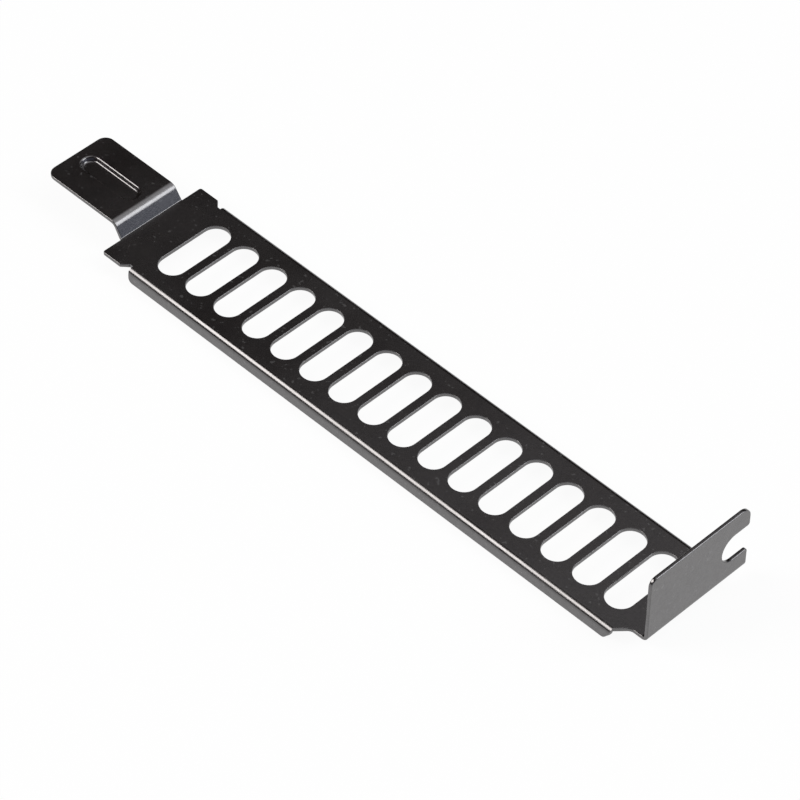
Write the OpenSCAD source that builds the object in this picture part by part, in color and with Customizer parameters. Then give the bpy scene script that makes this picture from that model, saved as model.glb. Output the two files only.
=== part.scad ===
// Vented slot cover: one folded steel sheet that closes an unused expansion
// slot. The plate lies flat with a row of vents across it. Its two long sides
// are folded down as low flanges, the tongue at one end is stepped up, and the
// tab at the other end is folded up and has an open notch for one screw.

/* [Sheet] */
// Thickness of the sheet
sheet_t = 0.6; // [0.5:0.05:1]
// Inside radius of the square folds of the flanges and the tab
fold_r = 0.4; // [0.2:0.05:0.5]

/* [Plate] */
// Length from the edge of the ears to the outer face of the tab
plate_l = 104.3; // [95:0.1:125]
// Width over the two ears beside the tongue
ear_w = 19.2; // [18:0.1:21]
// Length of an ear along its straight side
ear_l = 3.7; // [3:0.1:4]
// Radius of the ears' corners
ear_r = 0.4; // [0.2:0.1:1]

/* [Side flanges] */
// Width over the outer faces of the two flanges
flange_w = 19.1; // [18.8:0.1:22]
// Height of a flange, from the top of the plate to its lower edge
flange_h = 2.4; // [2.2:0.1:5]
// Distance from the edge of the ears to the flanges
flange_start = 5.3; // [5.1:0.1:8]
// How far a flange's end beside the neck slopes back
flange_slope = 1.1; // [0.2:0.1:1.5]
// Radius of the flanges' lower corners
flange_r = 0.8; // [0.2:0.1:0.8]

/* [Vents] */
// Length of a vent, across the plate
vent_l = 12.7; // [8:0.1:14]
// Width of a vent
vent_w = 4.4; // [3:0.1:5]
// Distance between the middles of two neighbouring vents
vent_pitch = 5.84; // [5.5:0.02:8]
// Distance from the edge of the ears to the middle of the first vent
vent_start = 9.05; // [8:0.05:14]
// Least distance from the middle of the last vent to the outer face of the tab
vent_end = 7.4; // [7:0.1:12]

/* [Neck] */
// Width of the neck between the plate and the tab
neck_w = 14.5; // [12:0.1:16]
// Length of the neck's straight side, up to the outer face of the tab
neck_l = 2.8; // [2.4:0.1:3.5]
// Radius of the corners between the neck and its shoulders
neck_r = 1.2; // [0.4:0.1:1.6]
// Length of the flat land at the root of the tab's free end
root_l = 0.5; // [0.3:0.1:0.8]

/* [Tab] */
// Width of the tab
tab_w = 19.4; // [17.5:0.1:21]
// Height of the tab above the top of the plate
tab_h = 11.4; // [11:0.1:16]
// Radius of the tab's top corner above the neck
tab_r = 1.2; // [0.5:0.1:2]
// Radius of the tab's top corner above the notch
prong_r = 1.8; // [0.5:0.1:2]
// Radius of the small corners at the open side of the notch
prong_tip_r = 0.4; // [0.2:0.1:0.6]

/* [Screw notch] */
// Width of the notch
notch_w = 4.8; // [3.6:0.02:5]
// Height of the middle of the notch above the top of the plate
notch_z = 5.4; // [5:0.1:6]
// Distance from the middle of the notch's round end to the open side
notch_in = 2.8; // [2.5:0.1:4]

/* [Tongue] */
// Length from the tip of the tongue to the edge of the ears
tongue_l = 16.3; // [15:0.1:20]
// Width of the tongue
tongue_w = 11.7; // [8:0.1:13]
// Radius of the corners at the tip
tongue_r = 1.6; // [0.5:0.1:3]
// Height of the step, from the top of the plate to the top of the tongue
step_h = 2.2; // [1.6:0.1:3]
// Steepness of the step
step_angle = 57; // [50:1:70]
// Inside radius of the bend at the foot of the step
foot_r = 0.1; // [0.1:0.05:0.6]
// Inside radius of the bend at the head of the step
head_r = 0.9; // [0.4:0.1:1.2]
// Radius of the relief cuts beside the foot of the step
relief_r = 0.5; // [0.2:0.1:0.8]

/* [Bead] */
// Width of the bead pressed into the tongue, between the middles of its rims
bead_w = 3.2; // [2.4:0.1:5]
// Depth of the bead
bead_d = 0.65; // [0.5:0.05:0.8]
// Steepness of the bead's walls
bead_angle = 62; // [45:1:68]
// Radius of the rim and of the foot of the bead's walls
bead_r = 0.35; // [0.2:0.05:0.4]
// Distance from the tip of the tongue to the bead
bead_tip = 1.7; // [1:0.1:3]
// Flat length between the step and the bead
bead_gap = 0.9; // [0.6:0.1:3]

/* [Hidden] */
$fn = 96;
// Extra length of a cutting shape past the faces that it cuts
over = 1;
// Outside radius of the square folds
fold_out = fold_r + sheet_t;
// Outside radius of the step's two bends
foot_out = foot_r + sheet_t;
head_out = head_r + sheet_t;
// Half the width of the flat plate between its two flange folds
flat_y = flange_w / 2 - fold_out;
// Half the width of the shoulders where the plate narrows to the neck
shoulder_y = flange_w / 2 - fold_out / 2;
// Where the shoulders end and the neck's straight sides begin
neck_x = plate_l - neck_l;
// Where the flanges end and the shoulders begin, at 45 degrees to the neck
shoulder_x = neck_x - (shoulder_y - neck_w / 2);
// Where the fold of the tab starts
tab_fold_x = plate_l - fold_out;
// Sides of the tab: one in line with the neck, the other past the plate
tab_y0 = -neck_w / 2;
tab_y1 = tab_y0 + tab_w;
// Middle of the round end of the screw notch, across the plate
notch_y = tab_y1 - notch_in;
// Vents that fit between the ears and the tab
vent_count = floor((plate_l - vent_start - vent_end) / vent_pitch) + 1;
// Length of the step's straight slope between its two bends
slope_l = (step_h - (foot_r + head_out) * (1 - cos(step_angle))) / sin(step_angle);
// Run of the whole step, from the edge of the ears to the end of its top bend
step_run = (foot_r + head_out) * sin(step_angle) + slope_l * cos(step_angle);
// Straight pieces that make up a curve that meets slanting lines
arc_facets = 12;
// Straight pieces that make up each curve of the bead's section
bead_facets = 4;
// Length of the bead
bead_l = tongue_l - step_run - bead_gap - bead_tip;
// The underside of the bead is wider by the sheet's offset round its walls
bead_under = 2 * sheet_t * tan(bead_angle / 2);
// Sides of the whole cover
side_y0 = min(-flange_w / 2, -ear_w / 2, tab_y0);
side_y1 = max(flange_w / 2, ear_w / 2, tab_y1);

// ---- Outlines ----

// Points along an arc, from one angle to another
function arc(centre, r, from, to, facets = arc_facets) = [
    for (i = [0 : facets])
        let (a = from + (to - from) * i / facets)
        centre + r * [cos(a), sin(a)]
];

// Slot shape with two round ends, its length along Y
module stadium(l, w) {
    square([w, l - w], center = true);
    for (end = [-1, 1]) translate([0, end * (l - w) / 2]) circle(d = w);
}

// What rounding takes off an outer corner at the origin, between an edge
// along -X and an edge along -Y
module corner_waste(r) {
    difference() {
        translate([-r, -r]) square(r + over);
        translate([-r, -r]) circle(r = r);
    }
}

// Both a shape and its mirror image across the middle of the plate
module both_sides() {
    children();
    mirror([0, 1]) children();
}

// Ear beside the tongue, with a sloping end towards its flange
module ear_outline() {
    ear_drop = ear_w / 2 - flat_y;
    difference() {
        polygon([
            [0, 0],
            [0, ear_w / 2],
            [ear_l, ear_w / 2],
            [ear_l + ear_drop, flat_y],
            [ear_l + ear_drop, 0]
        ]);
        translate([0, ear_w / 2]) mirror([1, 0]) corner_waste(ear_r);
        translate([-relief_r / 2, tongue_w / 2 + relief_r * cos(30)]) circle(r = relief_r);
    }
}

// Shoulder and neck, up to the fold of the tab
module neck_outline() {
    corner = [neck_x + neck_r * tan(22.5), neck_w / 2 + neck_r];
    polygon(concat(
        [[shoulder_x, 0], [shoulder_x, shoulder_y]],
        arc(corner, neck_r, -135, -90),
        [[tab_fold_x, neck_w / 2], [tab_fold_x, 0]]
    ));
}

// Land that carries the tab's free end past the neck
module root_outline() {
    difference() {
        translate([tab_fold_x - root_l, 0]) square([root_l, tab_y1]);
        translate([tab_fold_x - root_l, tab_y1]) mirror([1, 0]) corner_waste(root_l);
    }
}

// Flat part of the plate, with its vents
module plate_outline() {
    difference() {
        union() {
            translate([0, -flat_y]) square([shoulder_x, 2 * flat_y]);
            both_sides() ear_outline();
            both_sides() neck_outline();
            root_outline();
        }
        for (i = [0 : vent_count - 1]) {
            translate([vent_start + i * vent_pitch, 0]) stadium(vent_l, vent_w);
        }
    }
}

// Side view of a flange: square at the fold, with rounded lower corners and
// an end beside the neck that slopes back
module flange_side() {
    slope = atan(flange_slope / (flange_h - fold_out));
    round_z = -flange_h + flange_r;
    back = (-fold_out - round_z) * tan(slope);
    round_x = shoulder_x - back - flange_r / cos(slope);
    polygon([
        [flange_start, over],
        [flange_start, round_z],
        [flange_start + flange_r, -flange_h],
        [round_x, -flange_h],
        [round_x + flange_r * cos(slope), round_z - flange_r * sin(slope)],
        [shoulder_x, -fold_out],
        [shoulder_x, over]
    ]);
    translate([flange_start + flange_r, round_z]) circle(r = flange_r);
    translate([round_x, round_z]) circle(r = flange_r);
}

// Face of the tab from its fold up, seen along the plate: X runs up the tab
// and Y across it
module tab_outline() {
    top = tab_h - fold_r;
    notch_x = notch_z - fold_r;
    difference() {
        translate([0, tab_y0]) square([top, tab_w]);
        translate([top, tab_y1]) corner_waste(prong_r);
        translate([top, tab_y0]) mirror([0, 1]) corner_waste(tab_r);
        translate([notch_x, notch_y]) circle(d = notch_w);
        translate([notch_x - notch_w / 2, notch_y]) square([notch_w, notch_in + over]);
        translate([notch_x - notch_w / 2, tab_y1]) corner_waste(prong_tip_r);
        translate([notch_x + notch_w / 2, tab_y1]) mirror([1, 0]) corner_waste(prong_tip_r);
    }
}

// Quarter of a ring, between the directions of +X and +Y
module quarter_ring(inner, outer) {
    difference() {
        intersection() {
            circle(r = outer);
            square(outer + over);
        }
        circle(r = inner);
    }
}

// Side view of the step and the tongue, running out along X from the foot of
// the step: along the top to the tip, then back along the underside
module step_side() {
    foot = [0, foot_r];
    head = [step_run, step_h - head_out];
    polygon(concat(
        arc(foot, foot_r, -90, step_angle - 90, 4),
        arc(head, head_out, step_angle + 90, 90),
        [[tongue_l, step_h], [tongue_l, step_h - sheet_t]],
        arc(head, head_r, 90, step_angle + 90),
        arc(foot, foot_out, step_angle - 90, -90)
    ));
}

// ---- Sheet metal ----

// Flat sheet under the plane z = 0, cut to an outline
module flat_sheet() {
    translate([0, 0, -sheet_t]) linear_extrude(sheet_t) children();
}

// Square fold of the sheet at x = 0, up or down, between two values of Y. The
// sheet's top is at z = 0. What follows the fold is drawn as if the sheet went
// straight on along X.
module fold(up, y0, y1) {
    centre_z = up ? fold_r : -fold_out;
    translate([0, 0, centre_z]) {
        translate([0, y1, 0]) rotate([90, 0, 0]) linear_extrude(y1 - y0) {
            mirror([0, up ? 1 : 0]) quarter_ring(fold_r, fold_out);
        }
        rotate([0, up ? -90 : 90, 0]) translate([0, 0, -centre_z]) children();
    }
}

// Half the section of a bead as wide as given, from its middle out along X.
// It has a rounded foot and a rounded rim, and goes straight up past z = 0.
function bead_half(w) = let (
    reach = bead_r * tan(bead_angle / 2),
    foot = [w / 2 - bead_d / tan(bead_angle) - reach, bead_r - bead_d],
    rim = [w / 2 + reach, -bead_r]
) concat(
    arc(foot, bead_r, -90, bead_angle - 90, bead_facets),
    arc(rim, bead_r, bead_angle + 90, 90, bead_facets),
    [[rim[0], sheet_t / 2]]
);

// Solid with a bead's section and round ends, centred on z = 0
module bead_solid(l, w) {
    half = bead_half(w);
    run = l - w;
    last = len(half) - 1;
    translate([-run / 2, 0, 0]) rotate([90, 0, 90]) linear_extrude(run) polygon(concat(
        half,
        [for (i = [last : -1 : 0]) [-half[i][0], half[i][1]]]
    ));
    for (end = [-1, 1]) translate([end * run / 2, 0, 0]) rotate_extrude() polygon(concat(
        half,
        [[0, sheet_t / 2], [0, -bead_d]]
    ));
}

// Flange on the +Y side of the plate, with its fold
module flange() {
    l = shoulder_x - flange_start;
    intersection() {
        translate([shoulder_x, flat_y, 0]) rotate([0, 0, 90]) fold(false, 0, l) {
            flat_sheet() square([flange_h - fold_out, l]);
        }
        translate([0, flange_w, 0]) rotate([90, 0, 0]) linear_extrude(flange_w) flange_side();
    }
}

// Step up from the plate's ear end, and the tongue with its pressed bead,
// drawn as if they ran out along X
module stepped_tongue() {
    bead_x = tongue_l - bead_tip - bead_l / 2;
    difference() {
        union() {
            translate([0, tongue_w / 2, 0]) rotate([90, 0, 0]) linear_extrude(tongue_w) step_side();
            translate([bead_x, 0, step_h - sheet_t]) {
                bead_solid(bead_l + bead_under, bead_w + bead_under);
            }
        }
        translate([bead_x, 0, step_h]) bead_solid(bead_l, bead_w);
        translate([0, 0, step_h - sheet_t - over]) linear_extrude(sheet_t + 2 * over) both_sides() {
            translate([tongue_l, tongue_w / 2]) corner_waste(tongue_r);
        }
    }
}

// The whole folded sheet, standing on its flanges' lower edges
module slot_cover() {
    color("dimgray") translate([(tongue_l - plate_l) / 2, -(side_y0 + side_y1) / 2, flange_h]) {
        flat_sheet() plate_outline();
        flange();
        mirror([0, 1, 0]) flange();
        mirror([1, 0, 0]) stepped_tongue();
        translate([tab_fold_x, 0, 0]) fold(true, tab_y0, tab_y1) flat_sheet() tab_outline();
    }
}

slot_cover();
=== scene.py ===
"""Looks of the vented slot cover: one folded sheet of steel with a glossy black coating."""

import math

import bpy
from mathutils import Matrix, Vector


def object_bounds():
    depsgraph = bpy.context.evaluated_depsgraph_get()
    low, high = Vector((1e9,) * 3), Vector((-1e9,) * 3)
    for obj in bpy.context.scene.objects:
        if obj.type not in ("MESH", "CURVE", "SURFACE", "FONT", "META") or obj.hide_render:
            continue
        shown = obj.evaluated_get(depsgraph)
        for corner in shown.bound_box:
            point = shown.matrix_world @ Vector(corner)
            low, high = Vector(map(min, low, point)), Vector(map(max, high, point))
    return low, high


MM = 0.001

# ---- Camera, at the photograph's viewing angle ----
CAMERA_AT = (0.28192, -0.281715, 0.41187)
CAMERA_TURN_DEG = (43.828, -0.747, 45.218)
CAMERA_LENS_MM, CAMERA_SENSOR_MM = 184.25, 36.0
CAMERA_NEAREST, CAMERA_FURTHEST = 0.01, 20.0

# ---- Floor: white, and the object's shadow on it shows at a small share of its strength ----
FLOOR_HALF = 3.0
FLOOR_WHITE = (0.93, 0.93, 0.93)
FLOOR_SHADOW_SHARE = 0.06

# ---- Room: dark, with a pale panel overhead, a halo round it and a glow low at the tab's end ----
ROOM_DARK = (0.012, 0.0085, 0.0070)
ROOM_HALO = (0.260, 0.246, 0.249)
ROOM_LOW = (0.38, 0.43, 0.56)
ROOM_PANEL = (1.34, 1.35, 1.38)
PANEL_TOWARDS = Vector((0.12, 0.40, 0.91)).normalized()
LOW_TOWARDS = Vector((1.0, 0.0, 0.0))
# each fades in between two cosines of the angle from its direction
PANEL_FADE = (0.84, 0.97)
HALO_FADE = (0.79, 0.81)
LOW_FADE = (0.0, 0.6)
# and the low glow ends between two heights of the direction
LOW_ENDS = (0.10, 0.50)

# ---- Two soft lamps ----
LAMP_DISTANCE = 1.2
# name, direction from the object, width and height in metres, watts, colour
LAMPS = (
    ("lamp_front_left", (-0.49, -0.58, 0.64), 0.64, 0.66, 9.8, (1.0, 0.97, 0.94)),
    ("lamp_back_right", (0.60, 0.49, 0.62), 0.58, 0.64, 7.1, (0.94, 0.97, 1.0)),
)

# ---- Coating ----
COAT_BLACK = (0.0017, 0.0010, 0.0008)
COAT_DULL = (0.0048, 0.0035, 0.0031)
# lighter edge colour: bare metal where edges wear, and partly a painted rim highlight, since every sharp
# edge gets some of it
COAT_WORN_AND_RIM_HIGHLIGHT = (0.30, 0.30, 0.31)
COAT_SPECK = (0.12, 0.12, 0.12)
COAT_IOR = 2.2
COAT_TINT = (1.0, 0.975, 0.985, 1.0)
COAT_ROUGHNESS = 0.24
FILM_SMOOTHER, FILM_ROUGHER = 0.03, 0.04
SPECK_SHARE = 0.35
DULL_SPOTS = 0.10
# the least share of the lighter edge colour on any sharp edge: a painted rim highlight along every edge,
# under the random wear
WORN_AND_HIGHLIGHT_LEAST = 0.35
WORN_METAL, WORN_ROUGHER = 0.8, 0.10
GRAIN_STRENGTH, GRAIN_HEIGHT = 0.25, 0.01 * MM
# its noise patterns: waves to the metre, detail, roughness of the noise
FILM, MOTTLE, GRAIN = (60.0, 3.0, 0.5), (700.0, 5.0, 0.7), (1800.0, 3.0, 0.6)
SPECKS, DULL, RUBBED = (1500.0, 1.0, 0.5), (1700.0, 4.0, 0.75), (500.0, 4.0, 0.65)
# and the noise values between which each of them sets in
FILM_STEP, MOTTLE_STEP = (0.30, 0.70), (0.35, 0.70)
SPECKS_STEP, DULL_STEP, RUBBED_STEP = (0.67, 0.74), (0.42, 0.62), (0.35, 0.68)
# an edge with wear and a painted rim highlight: how wide, and between which cosines of the rounded normal's
# turn it sets in
WEAR_AND_HIGHLIGHT_WIDTH, WEAR_AND_HIGHLIGHT_SAMPLES = 0.30 * MM, 8
WEAR_AND_HIGHLIGHT_STEP = (0.94, 0.76)

# ---- Sizes of the sheet, as in the part's source ----
SHEET = 0.60 * MM
FOLD_OUTSIDE = 1.00 * MM
EARS_WIDTH = 19.20 * MM
TONGUE_LENGTH, TONGUE_WIDTH = 16.30 * MM, 11.70 * MM
FLANGE_START, FLANGES_WIDTH, FLANGE_HEIGHT = 5.30 * MM, 19.10 * MM, 2.40 * MM
NECK_LENGTH, NECK_WIDTH = 2.80 * MM, 14.50 * MM
# half the flat plate between the two folds, and half the shoulders beside the neck
FLAT_HALF = FLANGES_WIDTH / 2 - FOLD_OUTSIDE
SHOULDER_HALF = FLANGES_WIDTH / 2 - FOLD_OUTSIDE / 2
# the middle of the plate's thickness, above the floor
PLATE_HEIGHT = FLANGE_HEIGHT - SHEET / 2

# ---- Rounding of the sheared edges ----
EDGE_ROUND, EDGE_STEPS = 0.13 * MM, 3
EDGE_ANGLE = math.radians(35)
SMOOTH_ANGLE = math.radians(32)
WELD_WITHIN = 0.001 * MM
FLAT_WITHIN = math.radians(0.5)
NORMAL_WEIGHT = 100
# how far round a corner too tight to round its edges are left sharp
WEDGE_REACH, RELIEF_REACH = 1.00 * MM, 0.92 * MM
# the vents' rims are rounded less than the sheet's outline: the zone starts this far
# from the tongue's end, and reaches this far from the middle line and above the floor
VENT_ZONE_START, VENT_ZONE_HALF, VENT_ZONE_TOP = 20.0 * MM, 6.5 * MM, 2.5 * MM
VENT_ROUND_SHARE = 0.45


def node_tree(owner):
    owner.use_nodes = True
    tree = owner.node_tree
    tree.nodes.clear()
    return tree


def set_or_link(tree, socket, value):
    if isinstance(value, bpy.types.NodeSocket):
        tree.links.new(value, socket)
    else:
        socket.default_value = value


def add(tree, kind, **inputs):
    """A node, with the given inputs set or linked. Spaces in socket names are written as underscores."""
    node = tree.nodes.new(kind)
    for name, value in inputs.items():
        set_or_link(tree, node.inputs[name.replace("_", " ")], value)
    return node


def maths(tree, operation, a, b=0.0):
    node = tree.nodes.new("ShaderNodeMath")
    node.operation = operation
    set_or_link(tree, node.inputs[0], a)
    set_or_link(tree, node.inputs[1], b)
    return node.outputs[0]


def spread(tree, value, low, high, out_low=0.0, out_high=1.0):
    """A value brought smoothly from one range to another."""
    node = add(tree, "ShaderNodeMapRange", Value=value, From_Min=low, From_Max=high,
               To_Min=out_low, To_Max=out_high)
    node.interpolation_type = "SMOOTHSTEP"
    return node.outputs["Result"]


def noise(tree, position, scale, detail, roughness):
    node = add(tree, "ShaderNodeTexNoise", Vector=position, Scale=scale, Detail=detail, Roughness=roughness)
    return node.outputs["Fac"]


def mix(tree, share, a, b):
    """A mix of two colours, each a triple or a socket."""
    node = tree.nodes.new("ShaderNodeMix")
    node.data_type = "RGBA"
    factor, colour_a, colour_b = node.inputs[0], node.inputs[6], node.inputs[7]
    tree.links.new(share, factor)
    for socket, value in ((colour_a, a), (colour_b, b)):
        set_or_link(tree, socket, (*value, 1.0) if isinstance(value, tuple) else value)
    return node.outputs[2]


def towards(tree, direction, axis):
    """How far a direction points along an axis, from -1 to 1."""
    dot = tree.nodes.new("ShaderNodeVectorMath")
    dot.operation = "DOT_PRODUCT"
    set_or_link(tree, dot.inputs[0], direction)
    set_or_link(tree, dot.inputs[1], axis)
    return dot.outputs["Value"]


def edge_mask(tree):
    """1 on an edge and 0 on a flat face: how far a rounded normal leaves the true one."""
    rounded = add(tree, "ShaderNodeBevel", Radius=WEAR_AND_HIGHLIGHT_WIDTH)
    rounded.samples = WEAR_AND_HIGHLIGHT_SAMPLES
    true = tree.nodes.new("ShaderNodeNewGeometry")
    turned = towards(tree, rounded.outputs["Normal"], true.outputs["True Normal"])
    return spread(tree, turned, *WEAR_AND_HIGHLIGHT_STEP)


def coated_steel():
    """Glossy black coating: uneven film, dull spots, small specks, bare metal where edges wear, and a
    painted rim highlight, a lighter colour that every sharp edge gets in part.
    """
    material = bpy.data.materials.new("coated_steel")
    tree = node_tree(material)
    position = tree.nodes.new("ShaderNodeTexCoord").outputs["Object"]

    film = noise(tree, position, *FILM)
    mottle = noise(tree, position, *MOTTLE)
    specks = spread(tree, noise(tree, position, *SPECKS), *SPECKS_STEP)
    dull = spread(tree, noise(tree, position, *DULL), *DULL_STEP, 0.0, DULL_SPOTS)
    # edge wear at random, never below a share that paints a highlight along every sharp edge
    rubbed_and_highlight = spread(tree, noise(tree, position, *RUBBED), *RUBBED_STEP, WORN_AND_HIGHLIGHT_LEAST, 1.0)
    worn_and_rim_highlight = maths(tree, "MULTIPLY", edge_mask(tree), rubbed_and_highlight)

    coat = mix(tree, spread(tree, mottle, *MOTTLE_STEP), COAT_BLACK, COAT_DULL)
    flecked = mix(tree, maths(tree, "MULTIPLY", specks, SPECK_SHARE), coat, COAT_SPECK)
    # lighter edges: bare metal where they wear, and a painted rim highlight on all of them
    colour = mix(tree, worn_and_rim_highlight, flecked, COAT_WORN_AND_RIM_HIGHLIGHT)
    metallic = maths(tree, "MAXIMUM", maths(tree, "MULTIPLY", worn_and_rim_highlight, WORN_METAL), dull)
    smoothest, roughest = COAT_ROUGHNESS - FILM_SMOOTHER, COAT_ROUGHNESS + FILM_ROUGHER
    rough = maths(tree, "ADD", spread(tree, film, *FILM_STEP, smoothest, roughest),
                  maths(tree, "MULTIPLY", worn_and_rim_highlight, WORN_ROUGHER))
    grain = noise(tree, position, *GRAIN)
    bump = add(tree, "ShaderNodeBump", Strength=GRAIN_STRENGTH, Distance=GRAIN_HEIGHT, Height=grain)

    shader = add(tree, "ShaderNodeBsdfPrincipled", Base_Color=colour, Metallic=metallic, Roughness=rough,
                 Normal=bump.outputs["Normal"], IOR=COAT_IOR, Specular_Tint=COAT_TINT)
    output = tree.nodes.new("ShaderNodeOutputMaterial")
    tree.links.new(shader.outputs[0], output.inputs["Surface"])
    return material


def geometry_group(name):
    """A geometry node group with one geometry in and one out."""
    group = bpy.data.node_groups.new(name, "GeometryNodeTree")
    group.interface.new_socket("Geometry", in_out="INPUT", socket_type="NodeSocketGeometry")
    group.interface.new_socket("Geometry", in_out="OUTPUT", socket_type="NodeSocketGeometry")
    return group, group.nodes.new("NodeGroupInput"), group.nodes.new("NodeGroupOutput")


def tight_corners(tongue_x, tab_x):
    """Corners too tight to round, on both sides alike: place along, distance from the middle line, reach."""
    ears_x = tongue_x + TONGUE_LENGTH
    shoulder_x = tab_x - NECK_LENGTH - (SHOULDER_HALF - NECK_WIDTH / 2)
    wedge_at_fold_end = (shoulder_x, (FLAT_HALF + SHOULDER_HALF) / 2, WEDGE_REACH)
    relief_beside_ear = (ears_x + FLANGE_START, FLAT_HALF, RELIEF_REACH)
    relief_beside_tongue = (ears_x, TONGUE_WIDTH / 2, RELIEF_REACH)
    return wedge_at_fold_end, relief_beside_ear, relief_beside_tongue


def edge_weights(cad_box):
    """Geometry nodes that weigh the edges to be rounded: all sharp ones outside the tight corners."""
    tongue_x, tab_x = cad_box[0].x, cad_box[1].x
    middle_y = cad_box[0].y + EARS_WIDTH / 2
    group, start, end = geometry_group("edge_weights")
    angle = group.nodes.new("GeometryNodeInputMeshEdgeAngle")
    sharp = maths(group, "GREATER_THAN", angle.outputs["Unsigned Angle"], EDGE_ANGLE)
    position = group.nodes.new("GeometryNodeInputPosition").outputs["Position"]
    along, aside, up = add(group, "ShaderNodeSeparateXYZ", Vector=position).outputs
    from_middle = maths(group, "ABSOLUTE", maths(group, "SUBTRACT", aside, middle_y))

    for corner_x, corner_from_middle, reach in tight_corners(tongue_x, tab_x):
        away = (maths(group, "SUBTRACT", along, corner_x),
                maths(group, "SUBTRACT", from_middle, corner_from_middle),
                maths(group, "SUBTRACT", up, PLATE_HEIGHT))
        x, y, z = (maths(group, "POWER", side, 2.0) for side in away)
        apart = maths(group, "ADD", maths(group, "ADD", x, y), z)
        sharp = maths(group, "MULTIPLY", sharp, maths(group, "GREATER_THAN", apart, reach ** 2))

    past_tongue = maths(group, "GREATER_THAN", along, tongue_x + VENT_ZONE_START)
    between = maths(group, "LESS_THAN", from_middle, VENT_ZONE_HALF)
    on_plate = maths(group, "LESS_THAN", up, VENT_ZONE_TOP)
    inner = maths(group, "MULTIPLY", maths(group, "MULTIPLY", between, on_plate), past_tongue)
    share = maths(group, "SUBTRACT", 1.0, maths(group, "MULTIPLY", inner, 1.0 - VENT_ROUND_SHARE))
    store = group.nodes.new("GeometryNodeStoreNamedAttribute")
    store.data_type, store.domain = "FLOAT", "EDGE"
    store.inputs["Name"].default_value = "bevel_weight_edge"
    group.links.new(start.outputs[0], store.inputs["Geometry"])
    group.links.new(maths(group, "MULTIPLY", sharp, share), store.inputs["Value"])
    group.links.new(store.outputs["Geometry"], end.inputs[0])
    return group


def sharp_by_angle():
    """Geometry nodes that shade smooth and mark the sharp edges."""
    group, start, end = geometry_group("sharp_by_angle")
    faces = group.nodes.new("GeometryNodeSetShadeSmooth")
    edges = group.nodes.new("GeometryNodeSetShadeSmooth")
    edges.domain = "EDGE"
    angle = group.nodes.new("GeometryNodeInputMeshEdgeAngle")
    sharp = group.nodes.new("FunctionNodeCompare")
    sharp.operation = "GREATER_THAN"
    sharp.inputs["B"].default_value = SMOOTH_ANGLE
    group.links.new(angle.outputs["Unsigned Angle"], sharp.inputs["A"])
    group.links.new(start.outputs[0], faces.inputs["Geometry"])
    group.links.new(faces.outputs["Geometry"], edges.inputs["Geometry"])
    group.links.new(sharp.outputs["Result"], edges.inputs["Selection"])
    edges.inputs["Shade Smooth"].default_value = False
    group.links.new(edges.outputs["Geometry"], end.inputs[0])
    return group


def round_edges(obj, weights):
    """Small rounded edges on the sheet, as its coating has, with flat faces kept flat."""
    weld = obj.modifiers.new("weld", "WELD")
    weld.merge_threshold = WELD_WITHIN
    flat = obj.modifiers.new("flat_faces", "DECIMATE")
    flat.decimate_type = "DISSOLVE"
    flat.angle_limit = FLAT_WITHIN
    chosen = obj.modifiers.new("edge_weights", "NODES")
    chosen.node_group = weights
    bevel = obj.modifiers.new("edges", "BEVEL")
    bevel.width = EDGE_ROUND
    bevel.segments = EDGE_STEPS
    bevel.limit_method = "WEIGHT"
    bevel.use_clamp_overlap = False
    shade = obj.modifiers.new("shade", "NODES")
    shade.node_group = sharp_by_angle()
    normals = obj.modifiers.new("normals", "WEIGHTED_NORMAL")
    normals.weight = NORMAL_WEIGHT
    normals.keep_sharp = True


def dress(frame, cad_box):
    material = coated_steel()
    weights = edge_weights(cad_box)
    for obj in frame["nodes"].values():
        obj.data.materials.clear()
        obj.data.materials.append(material)
        round_edges(obj, weights)


def white_floor():
    """A white floor that shows the object's shadow only faintly."""
    mesh = bpy.data.meshes.new("floor")
    s = FLOOR_HALF
    mesh.from_pydata([(-s, -s, 0), (s, -s, 0), (s, s, 0), (-s, s, 0)], [], [(0, 1, 2, 3)])
    floor = bpy.data.objects.new("floor", mesh)
    bpy.context.scene.collection.objects.link(floor)

    material = bpy.data.materials.new("floor_white")
    tree = node_tree(material)
    lit = add(tree, "ShaderNodeBsdfDiffuse", Color=(*FLOOR_WHITE, 1.0))
    glow = add(tree, "ShaderNodeEmission", Color=(1.0, 1.0, 1.0, 1.0), Strength=1.0)
    path = tree.nodes.new("ShaderNodeLightPath")
    seen = maths(tree, "MAXIMUM", path.outputs["Is Camera Ray"], path.outputs["Is Transmission Ray"])
    seen = maths(tree, "MAXIMUM", seen, path.outputs["Is Glossy Ray"])
    share = maths(tree, "MULTIPLY", seen, 1.0 - FLOOR_SHADOW_SHARE)
    both = add(tree, "ShaderNodeMixShader", Fac=share)
    tree.links.new(lit.outputs[0], both.inputs[1])
    tree.links.new(glow.outputs[0], both.inputs[2])
    output = tree.nodes.new("ShaderNodeOutputMaterial")
    tree.links.new(both.outputs[0], output.inputs["Surface"])
    mesh.materials.append(material)


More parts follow.
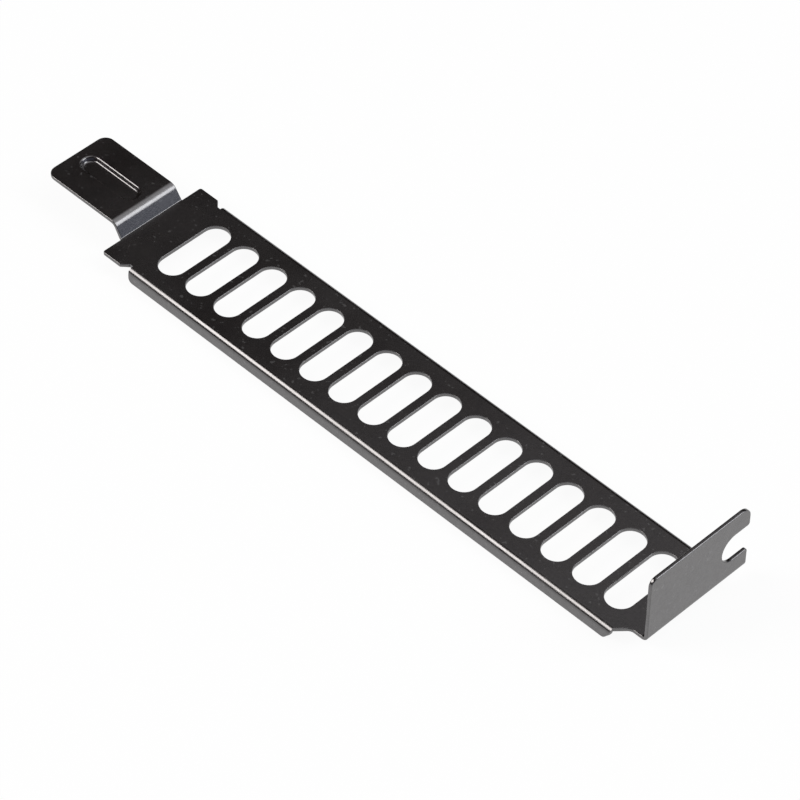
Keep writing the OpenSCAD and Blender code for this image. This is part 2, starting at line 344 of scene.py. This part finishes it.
def dim_room():
    """World that is dark but for a glow low at the tab's end, and a pale panel overhead with its halo."""
    world = bpy.data.worlds.new("room")
    bpy.context.scene.world = world
    tree = node_tree(world)
    direction = tree.nodes.new("ShaderNodeTexCoord").outputs["Generated"]
    height = add(tree, "ShaderNodeSeparateXYZ", Vector=direction).outputs["Z"]
    low = towards(tree, direction, LOW_TOWARDS)
    overhead = towards(tree, direction, PANEL_TOWARDS)
    colour = mix(tree, spread(tree, low, *LOW_FADE), ROOM_DARK, ROOM_LOW)
    colour = mix(tree, spread(tree, height, *LOW_ENDS), colour, ROOM_DARK)
    colour = mix(tree, spread(tree, overhead, *HALO_FADE), colour, ROOM_HALO)
    colour = mix(tree, spread(tree, overhead, *PANEL_FADE), colour, ROOM_PANEL)
    light = add(tree, "ShaderNodeBackground", Color=colour, Strength=1.0)
    output = tree.nodes.new("ShaderNodeOutputWorld")
    tree.links.new(light.outputs[0], output.inputs["Surface"])


def soft_lamps(centre):
    for name, direction, width, height, watts, colour in LAMPS:
        lamp = bpy.data.lights.new(name, "AREA")
        lamp.shape = "RECTANGLE"
        lamp.size, lamp.size_y = width, height
        lamp.energy = watts
        lamp.color = colour
        obj = bpy.data.objects.new(name, lamp)
        bpy.context.scene.collection.objects.link(obj)
        away = Vector(direction).normalized()
        obj.location = centre + away * LAMP_DISTANCE
        obj.rotation_euler = away.to_track_quat("Z", "Y").to_euler()
        obj.visible_camera = False


def camera():
    data = bpy.data.cameras.new("camera")
    data.sensor_width = CAMERA_SENSOR_MM
    data.lens = CAMERA_LENS_MM
    data.clip_start, data.clip_end = CAMERA_NEAREST, CAMERA_FURTHEST
    obj = bpy.data.objects.new("camera", data)
    bpy.context.scene.collection.objects.link(obj)
    obj.location = CAMERA_AT
    obj.rotation_euler = [math.radians(a) for a in CAMERA_TURN_DEG]
    bpy.context.scene.camera = obj


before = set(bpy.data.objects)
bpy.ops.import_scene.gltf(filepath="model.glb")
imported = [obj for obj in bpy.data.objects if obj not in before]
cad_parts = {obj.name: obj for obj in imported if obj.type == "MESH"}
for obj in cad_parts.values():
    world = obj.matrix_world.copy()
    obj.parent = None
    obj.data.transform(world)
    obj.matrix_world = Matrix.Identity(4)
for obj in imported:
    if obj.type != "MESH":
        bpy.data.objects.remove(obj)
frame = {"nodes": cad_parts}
cad_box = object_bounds()
bpy.context.scene.view_settings.view_transform = "Standard"
camera()
dress(frame, cad_box)
white_floor()
dim_room()
soft_lamps((cad_box[0] + cad_box[1]) / 2)
